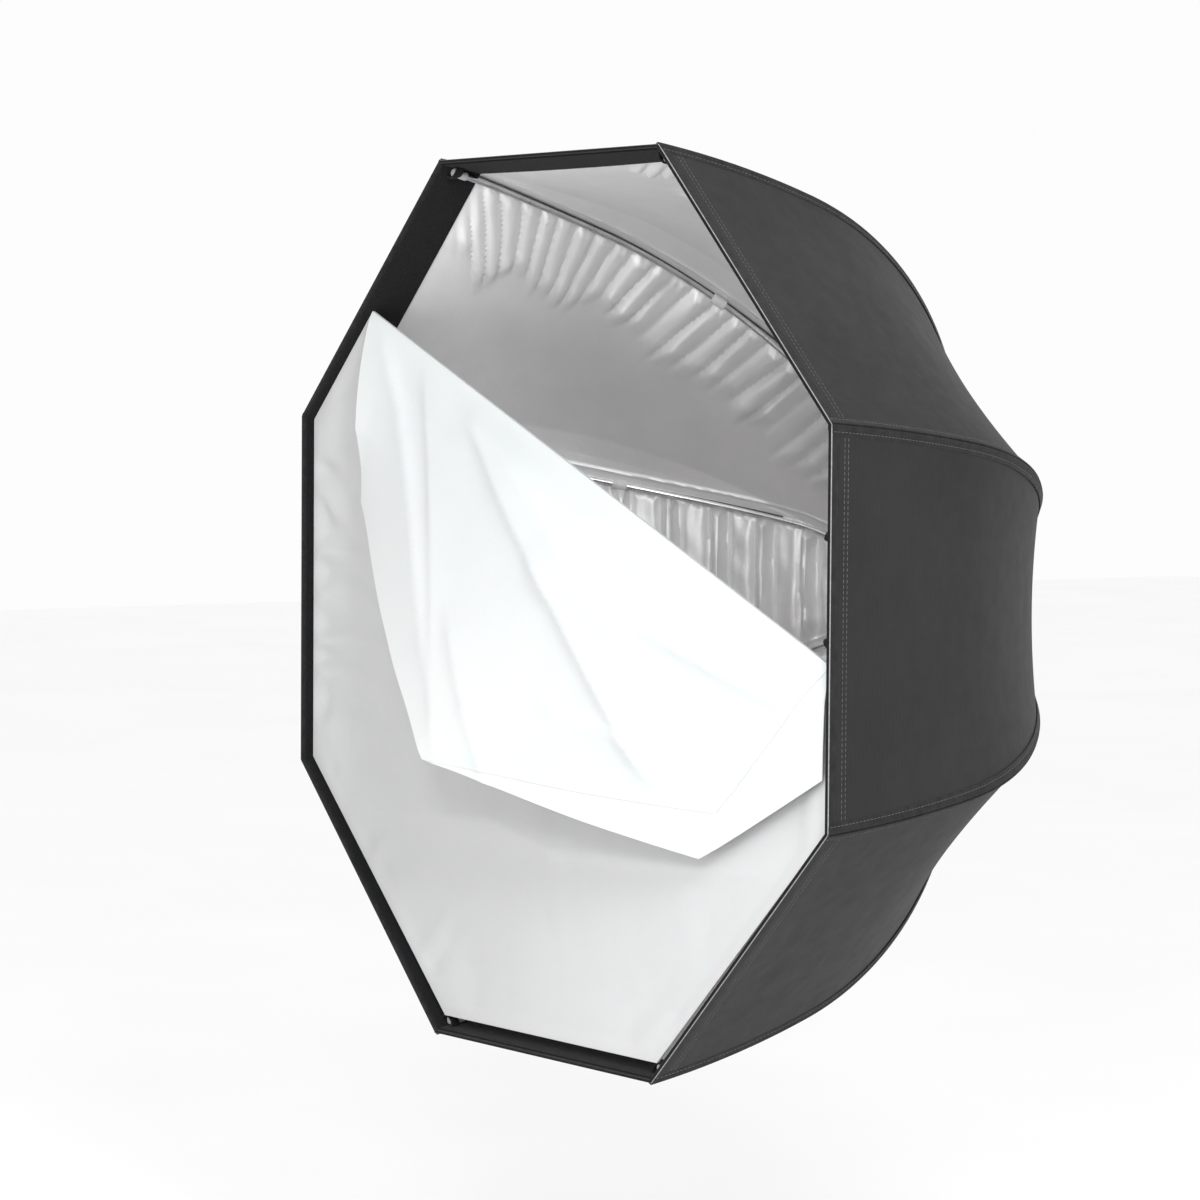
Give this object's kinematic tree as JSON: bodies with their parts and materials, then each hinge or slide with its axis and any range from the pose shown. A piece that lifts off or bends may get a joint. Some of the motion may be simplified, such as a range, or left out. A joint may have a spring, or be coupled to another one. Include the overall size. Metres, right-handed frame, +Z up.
{
  "type": "octabox",
  "caption": "Eight-sided softbox with bowed rods hinged on a rotating speed ring, black cover with silver lining, and a white front diffuser half folded down.",
  "frame": {"origin": "centre of the bayonet insert's rear face, on the axis of the speed ring", "axes": "+Y out of the back towards the light, the open front faces -Y, +Z up, +X to the right seen from the front"},
  "size_m": [0.7392, 0.5002, 0.7392],
  "materials": {
    "cover_fabric": "matte",
    "band_fabric": "matte",
    "diffuser_fabric": "matte",
    "rod_steel": "satin",
    "socket_black": "matte",
    "tip_rubber": "matte",
    "clip_white": "matte",
    "insert_steel": "satin",
    "ring_aluminium": "anodised black",
    "plate_black": "matte",
    "fastener_steel": "satin",
    "knob_black": "matte",
    "silver_lining": "satin"
  },
  "bodies": {
    "bayonet_insert": {"bayonet_insert": "insert_steel"},
    "speed_ring": {"ring_housing": "ring_aluminium", "ring_plate": "plate_black", "ring_screws": "fastener_steel", "hinge_pins": "fastener_steel", "back_band": "band_fabric"},
    "lock_knob": {"lock_knob": "knob_black"},
    "rod_1": {"rod_socket_1": "socket_black", "rod_1": "rod_steel", "rod_tip_1": "tip_rubber", "rod_clip_1": "clip_white"},
    "cover_1_left": {"cover_1_left": "cover_fabric"},
    "cover_1_right": {"cover_1_right": "cover_fabric"},
    "rod_2": {"rod_socket_2": "socket_black", "rod_2": "rod_steel", "rod_tip_2": "tip_rubber", "rod_clip_2": "clip_white"},
    "cover_2_left": {"cover_2_left": "cover_fabric"},
    "cover_2_right": {"cover_2_right": "cover_fabric"},
    "rod_3": {"rod_socket_3": "socket_black", "rod_3": "rod_steel", "rod_tip_3": "tip_rubber", "rod_clip_3": "clip_white"},
    "cover_3_left": {"cover_3_left": "cover_fabric"},
    "cover_3_right": {"cover_3_right": "cover_fabric"},
    "rod_4": {"rod_socket_4": "socket_black", "rod_4": "rod_steel", "rod_tip_4": "tip_rubber", "rod_clip_4": "clip_white"},
    "cover_4_left": {"cover_4_left": "cover_fabric"},
    "cover_4_right": {"cover_4_right": "cover_fabric"},
    "rod_5": {"rod_socket_5": "socket_black", "rod_5": "rod_steel", "rod_tip_5": "tip_rubber", "rod_clip_5": "clip_white"},
    "cover_5_left": {"cover_5_left": "cover_fabric"},
    "cover_5_right": {"cover_5_right": "cover_fabric"},
    "rod_6": {"rod_socket_6": "socket_black", "rod_6": "rod_steel", "rod_tip_6": "tip_rubber", "rod_clip_6": "clip_white"},
    "cover_6_left": {"cover_6_left": "cover_fabric"},
    "cover_6_right": {"cover_6_right": "cover_fabric"},
    "rod_7": {"rod_socket_7": "socket_black", "rod_7": "rod_steel", "rod_tip_7": "tip_rubber", "rod_clip_7": "clip_white"},
    "cover_7_left": {"cover_7_left": "cover_fabric"},
    "cover_7_right": {"cover_7_right": "cover_fabric"},
    "rod_8": {"rod_socket_8": "socket_black", "rod_8": "rod_steel", "rod_tip_8": "tip_rubber", "rod_clip_8": "clip_white"},
    "cover_8_left": {"cover_8_left": "cover_fabric"},
    "cover_8_right": {"cover_8_right": "cover_fabric"},
    "diffuser": {"diffuser": "diffuser_fabric"},
    "diffuser_flap": {"diffuser_flap": "diffuser_fabric"}
  },
  "joints": [
    {"name": "ring_rotation", "type": "hinge", "parent": "bayonet_insert", "child": "speed_ring", "pos_m": [0, 0, 0], "axis": [0, 1, 0], "continuous": true},
    {"name": "lock_knob_turn", "type": "hinge", "parent": "speed_ring", "child": "lock_knob", "pos_m": [0, -0.016, -0.1], "axis": [0, 0, -1], "range_deg": [0, 360]},
    {"name": "rod_1_fold", "type": "hinge", "parent": "speed_ring", "child": "rod_1", "pos_m": [0.08638, -0.034, 0.03578], "axis": [0.3827, 0, -0.9239], "range_deg": [0, 40]},
    {"name": "cover_1_left_gather", "type": "hinge", "parent": "rod_1", "child": "cover_1_left", "pos_m": [-0.02819, -0.08144, -0.02819], "axis": [0.6702, 0.3187, 0.6702], "range_deg": [0, 15.05], "deforming": ["cover_1_left"]},
    {"name": "cover_1_right_gather", "type": "hinge", "parent": "rod_1", "child": "cover_1_right", "pos_m": [-0.03987, -0.08144, 0], "axis": [-0.9478, -0.3187, 0], "range_deg": [0, 15.05], "deforming": ["cover_1_right"]},
    {"name": "rod_2_fold", "type": "hinge", "parent": "speed_ring", "child": "rod_2", "pos_m": [0.03578, -0.034, 0.08638], "axis": [0.9239, 0, -0.3827], "range_deg": [0, 40]},
    {"name": "cover_2_left_gather", "type": "hinge", "parent": "rod_2", "child": "cover_2_left", "pos_m": [0, -0.08144, -0.03987], "axis": [0, 0.3187, 0.9478], "range_deg": [0, 15.05], "deforming": ["cover_2_left"]},
    {"name": "cover_2_right_gather", "type": "hinge", "parent": "rod_2", "child": "cover_2_right", "pos_m": [-0.02819, -0.08144, -0.02819], "axis": [-0.6702, -0.3187, -0.6702], "range_deg": [0, 15.05], "deforming": ["cover_2_right"]},
    {"name": "rod_3_fold", "type": "hinge", "parent": "speed_ring", "child": "rod_3", "pos_m": [-0.03578, -0.034, 0.08638], "axis": [0.9239, 0, 0.3827], "range_deg": [0, 40]},
    {"name": "cover_3_left_gather", "type": "hinge", "parent": "rod_3", "child": "cover_3_left", "pos_m": [0.02819, -0.08144, -0.02819], "axis": [-0.6702, 0.3187, 0.6702], "range_deg": [0, 15.05], "deforming": ["cover_3_left"]},
    {"name": "cover_3_right_gather", "type": "hinge", "parent": "rod_3", "child": "cover_3_right", "pos_m": [0, -0.08144, -0.03987], "axis": [0, -0.3187, -0.9478], "range_deg": [0, 15.05], "deforming": ["cover_3_right"]},
    {"name": "rod_4_fold", "type": "hinge", "parent": "speed_ring", "child": "rod_4", "pos_m": [-0.08638, -0.034, 0.03578], "axis": [0.3827, 0, 0.9239], "range_deg": [0, 40]},
    {"name": "cover_4_left_gather", "type": "hinge", "parent": "rod_4", "child": "cover_4_left", "pos_m": [0.03987, -0.08144, 0], "axis": [-0.9478, 0.3187, 0], "range_deg": [0, 15.05], "deforming": ["cover_4_left"]},
    {"name": "cover_4_right_gather", "type": "hinge", "parent": "rod_4", "child": "cover_4_right", "pos_m": [0.02819, -0.08144, -0.02819], "axis": [0.6702, -0.3187, -0.6702], "range_deg": [0, 15.05], "deforming": ["cover_4_right"]},
    {"name": "rod_5_fold", "type": "hinge", "parent": "speed_ring", "child": "rod_5", "pos_m": [-0.08638, -0.034, -0.03578], "axis": [-0.3827, 0, 0.9239], "range_deg": [0, 40]},
    {"name": "cover_5_left_gather", "type": "hinge", "parent": "rod_5", "child": "cover_5_left", "pos_m": [0.02819, -0.08144, 0.02819], "axis": [-0.6702, 0.3187, -0.6702], "range_deg": [0, 15.05], "deforming": ["cover_5_left"]},
    {"name": "cover_5_right_gather", "type": "hinge", "parent": "rod_5", "child": "cover_5_right", "pos_m": [0.03987, -0.08144, 0], "axis": [0.9478, -0.3187, 0], "range_deg": [0, 15.05], "deforming": ["cover_5_right"]},
    {"name": "rod_6_fold", "type": "hinge", "parent": "speed_ring", "child": "rod_6", "pos_m": [-0.03578, -0.034, -0.08638], "axis": [-0.9239, 0, 0.3827], "range_deg": [0, 40]},
    {"name": "cover_6_left_gather", "type": "hinge", "parent": "rod_6", "child": "cover_6_left", "pos_m": [0, -0.08144, 0.03987], "axis": [0, 0.3187, -0.9478], "range_deg": [0, 15.05], "deforming": ["cover_6_left"]},
    {"name": "cover_6_right_gather", "type": "hinge", "parent": "rod_6", "child": "cover_6_right", "pos_m": [0.02819, -0.08144, 0.02819], "axis": [0.6702, -0.3187, 0.6702], "range_deg": [0, 15.05], "deforming": ["cover_6_right"]},
    {"name": "rod_7_fold", "type": "hinge", "parent": "speed_ring", "child": "rod_7", "pos_m": [0.03578, -0.034, -0.08638], "axis": [-0.9239, 0, -0.3827], "range_deg": [0, 40]},
    {"name": "cover_7_left_gather", "type": "hinge", "parent": "rod_7", "child": "cover_7_left", "pos_m": [-0.02819, -0.08144, 0.02819], "axis": [0.6702, 0.3187, -0.6702], "range_deg": [0, 15.05], "deforming": ["cover_7_left"]},
    {"name": "cover_7_right_gather", "type": "hinge", "parent": "rod_7", "child": "cover_7_right", "pos_m": [0, -0.08144, 0.03987], "axis": [0, -0.3187, 0.9478], "range_deg": [0, 15.05], "deforming": ["cover_7_right"]},
    {"name": "rod_8_fold", "type": "hinge", "parent": "speed_ring", "child": "rod_8", "pos_m": [0.08638, -0.034, -0.03578], "axis": [-0.3827, 0, -0.9239], "range_deg": [0, 40]},
    {"name": "cover_8_left_gather", "type": "hinge", "parent": "rod_8", "child": "cover_8_left", "pos_m": [-0.03987, -0.08144, 0], "axis": [0.9478, 0.3187, 0], "range_deg": [0, 15.05], "deforming": ["cover_8_left"]},
    {"name": "cover_8_right_gather", "type": "hinge", "parent": "rod_8", "child": "cover_8_right", "pos_m": [-0.02819, -0.08144, 0.02819], "axis": [-0.6702, -0.3187, 0.6702], "range_deg": [0, 15.05], "deforming": ["cover_8_right"]},
    {"name": "diffuser_lift", "type": "slide", "parent": "speed_ring", "child": "diffuser", "axis": [0, -1, 0], "range_m": [0, 0.35]},
    {"name": "diffuser_flap_swing", "type": "hinge", "parent": "diffuser", "child": "diffuser_flap", "pos_m": [0.04706, -0.43441, 0.10875], "axis": [-0.9178, 0, 0.3971], "range_deg": [0, 166]}
  ],
  "couplings": [
    {"joint": "cover_1_left_gather", "follows": "rod_1_fold", "ratio": 0.37604},
    {"joint": "cover_1_right_gather", "follows": "rod_1_fold", "ratio": 0.37604},
    {"joint": "rod_2_fold", "follows": "rod_1_fold", "ratio": 1},
    {"joint": "cover_2_left_gather", "follows": "rod_1_fold", "ratio": 0.37604},
    {"joint": "cover_2_right_gather", "follows": "rod_1_fold", "ratio": 0.37604},
    {"joint": "rod_3_fold", "follows": "rod_1_fold", "ratio": 1},
    {"joint": "cover_3_left_gather", "follows": "rod_1_fold", "ratio": 0.37604},
    {"joint": "cover_3_right_gather", "follows": "rod_1_fold", "ratio": 0.37604},
    {"joint": "rod_4_fold", "follows": "rod_1_fold", "ratio": 1},
    {"joint": "cover_4_left_gather", "follows": "rod_1_fold", "ratio": 0.37604},
    {"joint": "cover_4_right_gather", "follows": "rod_1_fold", "ratio": 0.37604},
    {"joint": "rod_5_fold", "follows": "rod_1_fold", "ratio": 1},
    {"joint": "cover_5_left_gather", "follows": "rod_1_fold", "ratio": 0.37604},
    {"joint": "cover_5_right_gather", "follows": "rod_1_fold", "ratio": 0.37604},
    {"joint": "rod_6_fold", "follows": "rod_1_fold", "ratio": 1},
    {"joint": "cover_6_left_gather", "follows": "rod_1_fold", "ratio": 0.37604},
    {"joint": "cover_6_right_gather", "follows": "rod_1_fold", "ratio": 0.37604},
    {"joint": "rod_7_fold", "follows": "rod_1_fold", "ratio": 1},
    {"joint": "cover_7_left_gather", "follows": "rod_1_fold", "ratio": 0.37604},
    {"joint": "cover_7_right_gather", "follows": "rod_1_fold", "ratio": 0.37604},
    {"joint": "rod_8_fold", "follows": "rod_1_fold", "ratio": 1},
    {"joint": "cover_8_left_gather", "follows": "rod_1_fold", "ratio": 0.37604},
    {"joint": "cover_8_right_gather", "follows": "rod_1_fold", "ratio": 0.37604},
    {"joint": "diffuser_lift", "follows": "rod_1_fold", "m_per_rad": 0.50134}
  ]
}
